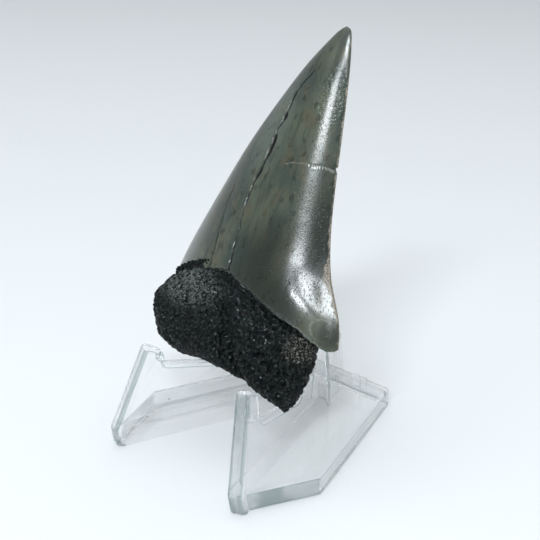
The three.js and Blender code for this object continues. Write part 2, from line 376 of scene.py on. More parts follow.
def wall_outline(seat_height):
    """A wall's side view, from its lower front corner round the back, the notch and the prong."""
    below = -WALL_THICKNESS
    seat_back = seat_height - SEAT_FALL * (NOTCH_BACK - PRONG_BACK)
    seat_front = min(NOTCH_RADIUS, (PRONG_HEIGHT - seat_height) / 3)
    return rounded_outline([
        (TOE_RADIUS * 0.3, below, 0),
        (WALL_LENGTH, below, 0),
        (WALL_LENGTH, SPINE_HEIGHT, 0),
        (REST_BACK, REST_HEIGHT, REST_RADIUS),
        (REST_FRONT, REST_HEIGHT, REST_RADIUS),
        (NOTCH_BACK, seat_back, NOTCH_RADIUS),
        (PRONG_BACK - PRONG_UNDERCUT, seat_height, seat_front),
        (PRONG_BACK, PRONG_HEIGHT - PRONG_BACK_DROP, PRONG_UNDERCUT * 1.5),
        (PRONG_BACK - PRONG_RADIUS, PRONG_HEIGHT, PRONG_RADIUS / 2),
        (PRONG_FRONT, PRONG_HEIGHT, PRONG_RADIUS / 5),
        *[(TOE_RADIUS * x, TOE_RADIUS * y, TOE_RADIUS * radius) for x, y, radius in TOE_SHAPE],
    ])


def stand_wall(name, seat_height, side):
    along = Vector((-math.sin(WALL_TURN), math.cos(WALL_TURN), 0))
    outward = Vector((math.cos(WALL_TURN), math.sin(WALL_TURN), 0))
    rise = Vector((0, 0, 1)) * math.cos(WALL_LEAN) - outward * math.sin(WALL_LEAN)
    place = Matrix((along, rise, along.cross(rise))).transposed().to_4x4()
    place.translation = (*TOE, 0)
    mirror = Matrix.Scale(side, 4, (1, 0, 0))
    return finished(slab(wall_outline(seat_height), 0, WALL_THICKNESS, to_frame @ mirror @ place), name)


def base_plate():
    half_outer = [(*PLATE_FRONT, 0), (*PLATE_SIDE, PLATE_CORNER_RADIUS), (*PLATE_BACK, PLATE_CORNER_RADIUS)]
    run = math.tan(WALL_TURN)
    side_x = TOE[0] + JOIN_OVERLAP
    inner_front = (side_x - (PLATE_FRONT[1] - TOE[1]) * run, PLATE_FRONT[1], 0)
    inner_back = (side_x + (TOE[1] - SPINE_Y) * run, SPINE_Y, 0)
    mirrored = [(-x, y, radius) for x, y, radius in [inner_front] + half_outer][::-1]
    outline = rounded_outline(half_outer + mirrored + [(-inner_back[0], SPINE_Y, 0), inner_back, inner_front])
    return finished(slab(outline, 0, PLATE_THICKNESS, to_frame), "plate")


def gate_nib():
    """The snapped-off stub at the back where the plastic was let into the mould."""
    stub = [Vector((x, PLATE_BACK[1] + y)) for x, y in NIB_OUTLINE]
    return finished(slab(stub, *NIB_LEVELS, to_frame, NIB_RIM), "nib")


def spine_bend():
    """The bend at the back: a tapering half ring with a rounded top, run on into the walls."""
    drawn_in = math.tan(WALL_LEAN)
    top = SPINE_HEIGHT
    profile = [(SPINE_INNER_RADIUS, 0), (SPINE_OUTER_RADIUS, 0), (SPINE_OUTER_RADIUS, top - MOULD_RIM)]
    for step in range(1, RIM_STEPS + 1):
        bend = math.pi / 2 * step / RIM_STEPS
        radius = SPINE_OUTER_RADIUS - MOULD_RIM * (1 - math.cos(bend))
        profile.append((radius, top - MOULD_RIM * (1 - math.sin(bend))))
    profile.append((SPINE_INNER_RADIUS + MOULD_RIM, top))
    profile.append((SPINE_INNER_RADIUS, top - MOULD_RIM))
    build = bmesh.new()
    loops = []
    for step in range(SPINE_STEPS + 1):
        angle = -SPINE_OVERRUN + (math.pi + 2 * SPINE_OVERRUN) * step / SPINE_STEPS
        radial = Vector((math.cos(angle), math.sin(angle), 0))
        points = [radial * (r - drawn_in * z) + Vector((0, SPINE_Y, z)) for r, z in profile]
        loops.append([build.verts.new(to_frame @ p) for p in points])
    for one, other in zip(loops, loops[1:]):
        for i in range(len(one)):
            build.faces.new((one[i - 1], one[i], other[i], other[i - 1]))
    build.faces.new(loops[0])
    build.faces.new(loops[-1][::-1])
    return finished(build, "spine")


def joined(first, others):
    """The mesh of the first piece with the others fused to it."""
    for other in others:
        union = first.modifiers.new(other.name, "BOOLEAN")
        union.operation = "UNION"
        union.solver = "MANIFOLD"
        union.object = other
    depsgraph = bpy.context.evaluated_depsgraph_get()
    mesh = bpy.data.meshes.new_from_object(first.evaluated_get(depsgraph))
    for piece in [first] + others:
        bpy.data.objects.remove(piece)
    return mesh


stand_mesh = joined(base_plate(), [
    stand_wall("right_wall", SEAT_HEIGHT_RIGHT, 1),
    stand_wall("left_wall", SEAT_HEIGHT_LEFT, -1),
    spine_bend(),
    gate_nib(),
])
# The leaning walls are drawn on past the floor, so the union is cut level there.
build = bmesh.new()
build.from_mesh(stand_mesh)
geometry = build.verts[:] + build.edges[:] + build.faces[:]
bmesh.ops.bisect_plane(
    build, geom=geometry, dist=1e-7, plane_co=(0, 0, 0), plane_no=(0, 0, -1), clear_outer=True,
)
bmesh.ops.holes_fill(build, edges=[edge for edge in build.edges if edge.is_boundary])
bmesh.ops.remove_doubles(build, verts=build.verts, dist=WELD)
bmesh.ops.recalc_face_normals(build, faces=build.faces)
build.to_mesh(stand_mesh)
build.free()


def stretched(graph, vector, scale):
    """The vector scaled along each axis, so a pattern on it is drawn out where the scale is low."""
    return graph.node("ShaderNodeVectorMath", {"operation": "MULTIPLY"}, [vector, scale], "Vector")


def noise(graph, vector, scale, detail=3.0):
    return graph.node("ShaderNodeTexNoise", {}, {"Vector": vector, "Scale": scale, "Detail": detail}, "Fac")


def patch(graph, vector, centre, reach):
    """1 at the centre of a soft-edged oval patch, falling to 0 at its reach along each axis."""
    offset = graph.node("ShaderNodeVectorMath", {"operation": "SUBTRACT"}, [vector, centre], "Vector")
    ratio = graph.node("ShaderNodeVectorMath", {"operation": "DIVIDE"}, [offset, reach], "Vector")
    distance = graph.node("ShaderNodeVectorMath", {"operation": "LENGTH"}, [ratio], "Value")
    return 1 - graph.soft_step(distance, 0.3, 1.0)


def mark(graph, name):
    """A value that the mesh carries at its points or on its faces."""
    return graph.node("ShaderNodeAttribute", {"attribute_name": name}, {}, "Fac")


RIB_PITCH = 0.42
RIB_REACH = 3.2
SPECK_PLACE = (-13.3, -20.6, 3.0)
SPECK_REACH = 0.4
FILLET_LEVEL = PLATE_THICKNESS + 0.2
CLEAR_SHARE, MARKED_SHARE = 0.15, 0.8
CLEAR_TINT, SHADED_TINT, SPECK_TINT = (0.99, 1.0, 1.0, 1), (0.3, 0.37, 0.37, 1), (0.01, 0.01, 0.01, 1)
INNER_TINT, INNER_DENSITY = (0.86, 0.95, 0.93, 1), 3.0
FROST_AND_SHADE_TINT = (0.2, 0.25, 0.25, 1)

acrylic, graph, shader = new_material("clear_acrylic", {"Transmission Weight": 1.0, "IOR": 1.45})
where = graph.node("ShaderNodeTexCoord", {}, {}, "Object")
frosted_and_shaded = mark(graph, "frosted_and_shaded")
scuffs = graph.soft_step(noise(graph, where, 600, 4.0), 0.6, 0.8)
graph.feed(shader.inputs["Roughness"], 0.02 + frosted_and_shaded * 0.3 + scuffs * 0.03)

# Painted shade: a dark line along the foot of the walls, where they meet the plate, joins the shaded faces.
above = graph.node("ShaderNodeSeparateXYZ", {}, {"Vector": where}, "Z") - FILLET_LEVEL * MM
fillet_shade_line = 1 - graph.soft_step(above.maths("ABSOLUTE", above), 0.1 * MM, 0.3 * MM)
shaded = mark(graph, "shaded") + fillet_shade_line * 0.3
speck = patch(graph, where, to_frame @ Vector(SPECK_PLACE), (SPECK_REACH * MM,) * 3)
marked = speck.maths("MAXIMUM", mark(graph, "rim"), speck.maths("MAXIMUM", speck, shaded))
graph.feed(shader.inputs["Alpha"], CLEAR_SHARE + marked * MARKED_SHARE)
tint = graph.blend(shaded, CLEAR_TINT, SHADED_TINT)
graph.feed(shader.inputs["Base Color"], graph.blend(speck, tint, SPECK_TINT))

across_ribs = (*(Vector(PLATE_SIDE) - Vector(PLATE_FRONT)).normalized(), 0)
along_rim = graph.node("ShaderNodeVectorMath", {"operation": "DOT_PRODUCT"}, [where, across_ribs], "Value")
ribs = along_rim.maths("SINE", along_rim * (2 * math.pi / (RIB_PITCH * MM)))
ribbed = patch(graph, where, to_frame @ Vector((*PLATE_SIDE, PLATE_THICKNESS)), (RIB_REACH * MM,) * 3)
embossed(graph, shader, noise(graph, where, 120, 2.0) + ribs * ribbed * 0.5, 0.4, 0.1)

absorbed = {"Color": INNER_TINT, "Density": INNER_DENSITY}
output = next(n for n in graph.tree.nodes if n.type == "OUTPUT_MATERIAL")
graph.feed(output.inputs["Volume"], graph.node("ShaderNodeVolumeAbsorption", {}, absorbed, "Volume"))
# Painted shade: the frost's grey tint stands for the dark look of light piped through the front edges, and
# its roughness is their matt finish.
frost_and_shade = graph.node("ShaderNodeBsdfPrincipled", {}, {
    "Base Color": FROST_AND_SHADE_TINT, "Roughness": 0.5, "Transmission Weight": 0.3,
}, "BSDF")
drag = graph.soft_step(noise(graph, stretched(graph, where, (1.0, 1.0, 0.4)), 260, 3.0), 0.4, 0.6)
polished = Socket(graph, shader.outputs[0])
sides = [frosted_and_shaded * (0.35 + drag * 0.5), polished, frost_and_shade]
graph.feed(output.inputs["Surface"], graph.node("ShaderNodeMixShader", {}, sides))

# Faces are marked for the material: rounded rims, edges given a painted shade, and edges the
# tool left matt, whose frost also holds a painted grey shade.
ROUND_LEAST, ROUND_MOST = 0.27, 0.55
stand_mesh.shade_smooth()
stand_mesh.set_sharp_from_angle(angle=SHARPEST_SMOOTH)
stand = mesh_object("moulded_stand", stand_mesh, acrylic)
build = bmesh.new()
build.from_mesh(stand_mesh)
rounded = [
    any(len(e.link_faces) == 2 and ROUND_LEAST < e.calc_face_angle(0) < ROUND_MOST for e in face.edges)
    for face in build.faces
]
build.free()
stand_mesh.attributes.new("rim", "FLOAT", "FACE").data.foreach_set("value", np.array(rounded, np.float32))
frost_shade_layer = stand_mesh.attributes.new("frosted_and_shaded", "FLOAT", "FACE")
dark = stand_mesh.attributes.new("shaded", "FLOAT", "FACE")
for polygon in stand_mesh.polygons:
    slope = polygon.normal.z
    low_edge = polygon.center.z < (PLATE_THICKNESS - 0.05) * MM
    front_end = polygon.center.y < spine_hollow.y + (PLATE_FRONT[1] + PRONG_FRONT) * MM
    forward = polygon.normal.y < -0.25 and abs(slope) < 0.5
    # Painted shade: the grey frost is stronger on the right half, whose edges look darker in this light.
    strength = 1.0 if polygon.center.x > spine_hollow.x else 0.5
    # Painted shade: rims that face down, and the plate's sides, are marked for the dark tint.
    turned_down = rounded[polygon.index] and slope < 0.35
    plate_side = abs(slope) < 0.3 and low_edge
    dark.data[polygon.index].value = 0.9 if turned_down else 0.25 if plate_side else 0.0
    frost_shade_layer.data[polygon.index].value = forward * strength * (1.0 if low_edge else 0.55 if front_end else 0.0)
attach(stand, "root")
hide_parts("stand")

# Crown: the enamel cap of the tooth, mineralised to a dark olive grey and polished by the
# gravel it lay in. Long drying cracks run down it, and its right edge is worn tan. It grew
# onto the root, which its rim overhangs at both sides.
TOOTH_FOOT = Vector((0, -18.8, 9.75))
TOOTH_LEAN = math.radians(20)
TIP = (2.8, 51.7)
CROWN_LEFT = (-17.6, 11.6)
CROWN_RIGHT = (15.2, 10.3)
CROWN_INNER_BULGE = 5.6
CROWN_OUTER_BULGE = 2.6
CROWN_LIP = 0.5
EDGE_BLUNTNESS = 0.1
NOTCH_Z = 32.7
NOTCH_REACH = 0.45
NOTCH_DEPTH = 0.4
LEFT_EDGE = [
    CROWN_LEFT, (-16.0, 17.2), (-12.7, 25.7), (-9.4, 33.4), (-5.7, 40.4), (-2.3, 46.0),
    (0.9, 50.1), (2.0, 51.2), TIP,
]
RIGHT_EDGE = [
    CROWN_RIGHT, (14.1, 13.7), (11.1, 18.7), (9.3, 23.8), (8.0, 29.9), (6.8, 37.4),
    (5.5, 44.8), (4.6, 48.7), (3.8, 51.1), TIP,
]
INNER_RIM = [
    (-1, 0), (-0.75, 1.2), (-0.45, 2.7), (-0.12, 4.5), (0.12, 3.5), (0.36, 2.1), (0.64, 0.7),
    (0.88, -1.0), (0.965, -0.85), (1, -0.35),
]
OUTER_RIM = [(-1, 0), (-0.5, -1.0), (0, -1.6), (0.5, -1.0), (1, 0)]
CROWN_ROWS = 290
CROWN_COLUMNS = 192
OUTER_SHARE = 3
tooth_place = to_frame @ Matrix.Translation(TOOTH_FOOT) @ Matrix.Rotation(-TOOTH_LEAN, 4, "X")


def spline(points, share):
    """Points at these shares of the way along a smooth curve through the given points."""
    points = np.array(points, float)
    last = len(points) - 1
    place = np.asarray(share) * last
    cell = np.minimum(np.floor(place).astype(int), last - 1)
    t = (place - cell)[..., None]
    before, here = points[np.maximum(cell - 1, 0)], points[cell]
    after, beyond = points[cell + 1], points[np.minimum(cell + 2, last)]
    leaving, arriving = (after - before) / 2, (beyond - here) / 2
    return (
        (2 * here - 2 * after + leaving + arriving) * t ** 3
        + (3 * after - 3 * here - 2 * leaving - arriving) * t ** 2 + leaving * t + here
    )


def smooth(value, low, high):
    share = np.clip((value - low) / (high - low), 0, 1)
    return share * share * (3 - 2 * share)


def mix(one, other, share):
    return one + (other - one) * share


def lumps(size, *axes):
    """Smooth repeatable noise from -1 to 1, with one random value at each corner of a grid."""
    cell = [np.floor(np.asarray(axis) / size) for axis in axes]
    part = [smooth(np.asarray(axis) / size - corner, 0, 1) for axis, corner in zip(axes, cell)]
    total = 0
    for corner in range(2 ** len(axes)):
        steps = [corner >> bit & 1 for bit in range(len(axes))]
        weight, phase = 1, 0
        for axis, step in enumerate(steps):
            weight = weight * (part[axis] if step else 1 - part[axis])
            phase = phase + (cell[axis] + step) * (127.1, 311.7, 74.7)[axis]
        wave = np.sin(phase) * 43758.5453
        total = total + weight * (2 * (wave - np.floor(wave)) - 1)
    return total


def sheet_grid(columns, rows):
    """Places from -1 to 1 across and from 0 to 1 up, a little closer together at the edges."""
    line = np.linspace(-1, 1, columns + 1)
    across = 0.7 * line + 0.3 * np.sin(line * math.pi / 2)
    return np.meshgrid(across, np.linspace(0, 1, rows + 1))


def crown_sheet(across, up, bulge, rim, side):
    """One face of the crown, lens-shaped between its cutting edges, with a thin ragged lip."""
    left, right = spline(LEFT_EDGE, up), spline(RIGHT_EDGE, up)
    nick = 1 - smooth(abs(right[..., 1] - NOTCH_Z), 0.05, NOTCH_REACH)
    share = (across + 1) / 2
    x = mix(left[..., 0], right[..., 0] - NOTCH_DEPTH * nick * smooth(across, 0.88, 1), share)
    curve = spline(rim, np.linspace(0, 1, 400))
    ragged = 0.16 * lumps(0.7, x) + 0.1 * lumps(0.3, x)
    rise = np.interp(across, curve[:, 0], curve[:, 1])
    z = mix(left[..., 1], right[..., 1], share) + rise * (1 - up) ** 3
    z = z + ragged * (1 - across ** 8) * (1 - up) ** 16
    width = (right[..., 0] - left[..., 0]) / (CROWN_RIGHT[0] - CROWN_LEFT[0])
    middle = np.maximum(0, 1 - across ** 2)
    lens = middle + EDGE_BLUNTNESS * (middle ** 0.4 - middle)
    lip = 1 - CROWN_LIP / bulge * (1 - smooth(up, 0, 0.03))
    y = side * bulge * width * mix(1, 1.25, smooth(up, 0, 0.6)) * lens * lip
    return np.stack([x, y, z], -1)


def closed_sheets(inner, outer, ratio):
    """Faces that close an inner and an outer grid into one body. They share their side rims,
    and the outer one has one column for each few of the inner one."""
    rows, columns = inner.shape[0] - 1, inner.shape[1] - 1
    wide = columns // ratio
    points = np.concatenate([inner.reshape(-1, 3), outer.reshape(-1, 3)])
    start = (rows + 1) * (columns + 1)

    def front(row, column):
        return row * (columns + 1) + column

    def rear(row, column):
        if column in (0, wide):
            return front(row, column * ratio)
        return start + row * (wide + 1) + column

    faces = [
        (front(r, c), front(r, c + 1), front(r + 1, c + 1), front(r + 1, c))
        for r in range(rows) for c in range(columns)
    ]
    faces += [
        (rear(r, c + 1), rear(r, c), rear(r + 1, c), rear(r + 1, c + 1))
        for r in range(rows) for c in range(wide)
    ]
    for c in range(wide):
        low = [front(0, c * ratio + i) for i in range(ratio, -1, -1)]
        faces.append(tuple(low + [rear(0, c), rear(0, c + 1)]))
        high = [front(rows, c * ratio + i) for i in range(ratio + 1)]
        faces.append(tuple(high + [rear(rows, c + 1), rear(rows, c)]))
    without_repeats = [tuple(dict.fromkeys(face)) for face in faces]
    return points, [face for face in without_repeats if len(face) > 2]


def sheet_mesh(name, points, faces, marks):
    """The mesh of these points in the leaning tooth's place, with a value at each point per mark."""
    mesh = bpy.data.meshes.new(name)
    mesh.from_pydata(points.tolist(), [], faces)
    mesh.transform(tooth_place)
    for label, values in marks.items():
        layer = mesh.attributes.new(label, "FLOAT", "POINT")
        layer.data.foreach_set("value", np.asarray(values, np.float32))
    build = bmesh.new()
    build.from_mesh(mesh)
    bmesh.ops.remove_doubles(build, verts=build.verts, dist=WELD)
    bmesh.ops.dissolve_degenerate(build, edges=build.edges, dist=1e-6)
    bmesh.ops.recalc_face_normals(build, faces=build.faces)
    build.to_mesh(mesh)
    build.free()
    mesh.shade_smooth()
    return mesh


MAIN_CRACK = [
    (0.6, 45.0), (-0.6, 43.2), (-1.6, 41.0), (-1.8, 38.3), (-2.3, 35.7), (-2.2, 33.0), (-2.6, 30.9),
    (-3.1, 28.8), (-3.4, 26.6), (-3.3, 23.8), (-2.9, 21.0), (-2.6, 18.2), (-2.4, 15.6),
]
MAIN_WIDTHS = [0.2, 0.4, 0.65, 0.8, 0.75, 1.5, 0.7, 0.6, 0.45, 0.35, 0.35, 0.4, 0.6]
SECOND_CRACK = [(-7.6, 27.7), (-7.7, 24.8), (-7.4, 22.1), (-6.8, 19.0), (-6.6, 16.4), (-6.4, 14.6)]
SECOND_WIDTHS = [0.1, 0.2, 0.2, 0.25, 0.3, 0.45]
THIRD_CRACK = [(3.6, 24.1), (2.9, 22.0), (2.3, 20.8), (2.2, 18.9), (2.1, 17.2)]
THIRD_WIDTHS = [0.08, 0.1, 0.2, 0.1, 0.06]
CROSS_CRACK = [(1.3, 31.8), (2.9, 32.3), (4.7, 32.5), (6.1, 32.6), (7.3, 32.4)]
CROSS_WIDTHS = [0.1, 0.14, 0.14, 0.3, 0.7]
CRACK_DEPTH = 0.3
CRACK_WANDER = 0.13
CRACK_STEPS = 240
SCRATCH_DEPTH = 0.045
WEAR_HEIGHTS = [11, 14, 15.5, 17.5, 19.5, 21.5, 27, 33, 45, 50]
WEAR_WIDTHS = [0.12, 0.2, 0.5, 0.6, 0.4, 0.2, 0.14, 0.14, 0.14, 0.05]
OUTER_WEAR = 0.4
WORN_MIDDLE = (13.1, 11.6)
WORN_REACH = (1.9, 1.35)
WORN_TURN = math.radians(35)
WORN_RING = 0.09
WORN_DEPTH = 0.012


def near_line(x, z, path, widths):
    """How deep each place lies in a crack along the path, from 0 outside it to 1 on its line."""
    steps = np.linspace(0, 1, CRACK_STEPS)
    line = spline(path, steps)
    line = line + CRACK_WANDER * np.stack([lumps(0.9, line[:, 1]), lumps(0.9, line[:, 0] + 40)], -1)
    half = np.interp(steps, np.linspace(0, 1, len(widths)), widths) / 2
    half = half * (1 + 0.45 * lumps(0.8, line[:, 1] + 90))
    depth = np.zeros(x.shape)
    for (px, pz), reach in zip(line, half):
        distance = np.hypot(x - px, z - pz)
        depth = np.maximum(depth, 1 - distance / max(reach, 0.05))
    return depth


def carve_crown(points):
    """Sinks the cracks into a face of the crown, and returns how deep each place lies in them."""
    x, z = points[..., 0], points[..., 2]
    crack = np.zeros(x.shape)
    for path, widths in ((MAIN_CRACK, MAIN_WIDTHS), (SECOND_CRACK, SECOND_WIDTHS)):
        crack = np.maximum(crack, near_line(x, z, path, widths))
    crack = smooth(crack, 0, 0.6)
    points[..., 1] += CRACK_DEPTH * crack
    crack = np.maximum(crack, 0.7 * smooth(near_line(x, z, THIRD_CRACK, THIRD_WIDTHS), 0, 0.6))
    scratch = smooth(near_line(x, z, CROSS_CRACK, CROSS_WIDTHS), 0, 0.8)
    points[..., 1] += SCRATCH_DEPTH * scratch
    return crack, scratch


across, up = sheet_grid(CROWN_COLUMNS, CROWN_ROWS)
inner = crown_sheet(across, up, CROWN_INNER_BULGE, INNER_RIM, -1)
inner_crack, inner_scratch = carve_crown(inner)
from_right = spline(RIGHT_EDGE, up)[..., 0] - inner[..., 0]
wear = np.interp(inner[..., 2], WEAR_HEIGHTS, WEAR_WIDTHS)
ragged = wear * (1 + 0.6 * lumps(1.3, inner[..., 2]) + 0.6 * lumps(0.4, inner[..., 0], inner[..., 2]))
inner_edge = smooth(ragged - from_right, -0.06, 0.1)
off_x, off_z = inner[..., 0] - WORN_MIDDLE[0], inner[..., 2] - WORN_MIDDLE[1]
along = off_x * math.cos(WORN_TURN) - off_z * math.sin(WORN_TURN)
over = off_x * math.sin(WORN_TURN) + off_z * math.cos(WORN_TURN)
oval = np.hypot(along / WORN_REACH[0], over / WORN_REACH[1])
inner_worn = np.exp(-(((oval - 1) / WORN_RING) ** 2)) * smooth(-along, -0.8, 0.6)
uneven = 1 + 0.5 * lumps(0.5, inner[..., 0], inner[..., 2])
inner[..., 1] += WORN_DEPTH * (1 - smooth(oval, 0.6, 1.2)) * uneven
inner_rim = 1 - smooth(up, 0.008, 0.03)

outer_across, outer_up = sheet_grid(CROWN_COLUMNS // OUTER_SHARE, CROWN_ROWS)
outer = crown_sheet(outer_across, outer_up, CROWN_OUTER_BULGE, OUTER_RIM, 1)
outer_edge = smooth(OUTER_WEAR - (spline(RIGHT_EDGE, outer_up)[..., 0] - outer[..., 0]), -0.1, 0.15)
nothing = np.zeros(outer.shape[:2])
points, faces = closed_sheets(inner, outer, OUTER_SHARE)
marked = {
    "crack": (inner_crack, nothing),
    "scratch": (inner_scratch, nothing),
    "edge_wear": (inner_edge, outer_edge),
    "worn": (inner_worn, nothing),
    "rim": (inner_rim, nothing),
}
marks = {name: np.concatenate([front.ravel(), rear.ravel()]) for name, (front, rear) in marked.items()}
crown_mesh = sheet_mesh("enamel_crown", points, faces, marks)

enamel, graph, shader = new_material("fossil_enamel", {
    "Specular IOR Level": 0.3,
    "Coat Roughness": 0.15,
    "Coat IOR": 1.5,
})


def tooth_millimetres(graph):
    """Object coordinates turned into millimetres in the tooth's own frame."""
    inputs = {
        "Vector": graph.node("ShaderNodeTexCoord", {}, {}, "Object"),
        "Location": to_frame @ TOOTH_FOOT,
        "Rotation": (-TOOTH_LEAN, 0, 0),
        "Scale": (MM, MM, MM),
    }
    return graph.node("ShaderNodeMapping", {"vector_type": "TEXTURE"}, inputs, "Vector")


place = tooth_millimetres(graph)
streaks = noise(graph, stretched(graph, place, (1.0, 1.0, 0.09)), 1.6, 5.0)
mottle = noise(graph, stretched(graph, place, (1.0, 1.0, 0.5)), 0.22, 4.0)
cloud = noise(graph, stretched(graph, place, (1.0, 1.0, 0.6)), 0.5, 3.0)
fine = noise(graph, place, 5.0, 4.0)
specks = noise(graph, stretched(graph, place, (1.0, 1.0, 0.55)), 1.1, 3.0)
crack, scratch, edge_wear = mark(graph, "crack"), mark(graph, "scratch"), mark(graph, "edge_wear")
worn, rim = mark(graph, "worn"), mark(graph, "rim")
OLIVE, SLATE, BROWN = (0.075, 0.088, 0.060, 1), (0.040, 0.055, 0.045, 1), (0.078, 0.073, 0.046, 1)
CHALK, BLACK = (0.3, 0.3, 0.27, 1), (0.004, 0.005, 0.004, 1)
# Each entry has its middle and its reach in millimetres, then its share and its colour.
# The first darkens the lower middle and the last is a brown stain. The second is painted
# shade on the crown's right side, and the third a painted sheen on its upper left.
STAINS_AND_PAINTED_LIGHT = [
    ((4.5, -4.0, 17.0), (9.0, 7.0, 11.0), 0.9, (0.012, 0.017, 0.012, 1)),
    ((9.0, -2.0, 24.0), (5.5, 5.0, 15.0), 0.9, (0.013, 0.019, 0.014, 1)),
    ((-3.5, -3.0, 38.0), (4.5, 5.0, 13.0), 0.5, (0.12, 0.15, 0.125, 1)),
    ((5.2, -3.5, 21.0), (2.2, 6.0, 6.0), 0.3, BROWN),
]
# A soft patch that darkens the crown's lower right corner.
DARKER_CORNER = ((14.1, -1.4, 11.4), (2.8, 5.0, 2.8))
DULL_PATCH = ((7.2, -2.0, 22.5), (4.5, 5.0, 4.5))
PEELED_PATCH = ((4.4, -1.4, 42.0), (3.5, 4.0, 6.0))

shade = graph.blend(graph.soft_step(mottle, 0.38, 0.62), OLIVE, SLATE)
shade = graph.blend(graph.soft_step(cloud, 0.5, 0.66) * 0.7, shade, BROWN)
for middle, reach, share, colour in STAINS_AND_PAINTED_LIGHT:
    shade = graph.blend(patch(graph, place, middle, reach) * share, shade, colour)
tan = graph.blend(graph.soft_step(fine, 0.35, 0.6), (0.07, 0.06, 0.045, 1), (0.36, 0.31, 0.25, 1))
layers = [
    (graph.soft_step(streaks, 0.5, 0.72) * 0.5, (0.018, 0.023, 0.018, 1)),
    (graph.soft_step(fine, 0.64, 0.76) * 0.15, (0.12, 0.125, 0.1, 1)),
    (graph.soft_step(specks, 0.56, 0.68) * 0.6, (0.010, 0.014, 0.010, 1)),
    (rim * graph.soft_step(fine, 0.4, 0.6) * 0.6, (0.15, 0.17, 0.165, 1)),
    (worn * graph.soft_step(fine, 0.36, 0.6) * 0.6, (0.2, 0.21, 0.18, 1)),
    (patch(graph, place, *DARKER_CORNER) * 0.75, (0.016, 0.021, 0.016, 1)),
    (scratch * 0.7, CHALK),
    (edge_wear * 0.85, tan),
    (crack, BLACK),
]
for share, colour in layers:
    shade = graph.blend(share, shade, colour)
graph.feed(shader.inputs["Base Color"], shade)
dull = edge_wear * 0.35 + crack * 0.5 + worn * 0.1
graph.feed(shader.inputs["Roughness"], 0.19 + graph.soft_step(streaks, 0.45, 0.7) * 0.06 + dull)

pits = graph.soft_step(noise(graph, place, 4.2, 2.0), 0.58, 0.68)
polish = (0.5 - crack * 0.5 - edge_wear * 0.35) * (1 - pits)
graph.feed(shader.inputs["Coat Weight"], polish * (1 - patch(graph, place, *DULL_PATCH) * 0.75))
ripples = noise(graph, stretched(graph, place, (0.5, 1.0, 3.2)), 2.4, 2.0)
orange_peel = noise(graph, place, 2.4, 1.0) * patch(graph, place, *PEELED_PATCH)
relief = streaks * 0.06 + fine * 0.12 + ripples * 0.1 + orange_peel * 3.0 - pits * 0.16
embossed(graph, shader, relief, 0.5, 0.12)

crown = mesh_object("enamel_crown", crown_mesh, enamel)
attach(crown, "root")
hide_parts("tooth")

# Root: the bone-like base, grown in one with the crown. It has two lobes and a nutrient groove
# between them, and is darker than the enamel. Its porous skin is pebbled as finely as sand.
ROOT_INNER_BULGE = 6.4
ROOT_OUTER_BULGE = 4.4
ROOT_LEFT, ROOT_LEFT_SPREAD = (-11.2, -15.6), 4.8
ROOT_RIGHT, ROOT_RIGHT_SPREAD = (9.2, 11.8), 0.5
ROOT_LEFT_LEVELS, ROOT_RIGHT_LEVELS = (0.8, 12.4), (-0.8, 10.2)
ROOT_ARCH = (1.7, 5.2)
ROOT_COLUMNS = 300
ROOT_ROWS = 130
KNOBS = [(0.26, 1.7, 0), (0.14, 0.8, 9)]
GROOVE_FOOT_X = 1.6
GROOVE_FOOT_Z = 4.8
GROOVE_SLANT = 0.6
GROOVE_WIDTH = 1.35
RIDGE_START = np.array([2.2, 6.0])
RIDGE_END = np.array([9.8, 0.6])
RIDGE_PROUD = 0.32
UNDERSIDE_DROP = 0.5
UNDER_LIP = (0.88, 0.95)


def ridge_height(x, z):
    """The long low ridge from the groove to the right lobe's foot, and the flat band under it."""
    run = RIDGE_END - RIDGE_START
    length = np.hypot(*run)
    along = ((x - RIDGE_START[0]) * run[0] + (z - RIDGE_START[1]) * run[1]) / length
    over = ((z - RIDGE_START[1]) * run[0] - (x - RIDGE_START[0]) * run[1]) / length
    shown = smooth(along, -1.5, 0.8) * (1 - smooth(along, length - 1, length + 1.5))
    return shown * (RIDGE_PROUD * np.exp(-((over / 0.45) ** 2)) - UNDERSIDE_DROP * smooth(-over, 0, 1.2))


def root_sheet(across, up, bulge, side, left_head, right_head):
    """One face of the root, drawn in by the given shares where the crown's rim takes it up."""
    share = (across + 1) / 2
    spread = np.sin(math.pi * np.minimum(1, up * 1.1)) ** 0.8
    left = mix(*ROOT_LEFT, up) - ROOT_LEFT_SPREAD * spread
    right = mix(*ROOT_RIGHT, up) + ROOT_RIGHT_SPREAD * spread
    x = mix(left, right, share)
    middle = 1 - across ** 2
    z = mix(mix(*ROOT_LEFT_LEVELS, up), mix(*ROOT_RIGHT_LEVELS, up), share) + mix(*ROOT_ARCH, up) * middle
    foot = np.sqrt(1 - (1 - np.minimum(1, up / 0.2)) ** 2)
    head = 1 - mix(left_head, right_head, share * share) * smooth(up, 0.5, 1)
    groove_x = GROOVE_FOOT_X - GROOVE_SLANT * (z - GROOVE_FOOT_Z)
    in_groove = np.exp(-(((x - groove_x) / GROOVE_WIDTH) ** 2)) * (1 - smooth(up, 0.45, 0.9))
    cleft = 1 - (0.3 if side < 0 else 0.12) * in_groove
    roundness = mix(0.29, 0.375, smooth(across, -0.6, 0.2))
    depth = bulge * np.maximum(0, middle) ** roundness * foot * head * cleft * (up < 1)
    knobs = sum(height * lumps(size, x, side * depth + shift, z) for height, size, shift in KNOBS)
    depth = depth + knobs * np.minimum(1, depth)
    if side < 0:
        depth = depth + ridge_height(x, z) * np.minimum(1, depth)
    return np.stack([x, side * depth, z], -1)


def root_grid(columns, rows):
    across = np.sin(np.linspace(-1, 1, columns + 1) * math.pi / 2)
    return np.meshgrid(across, np.linspace(0, 1, rows + 1))


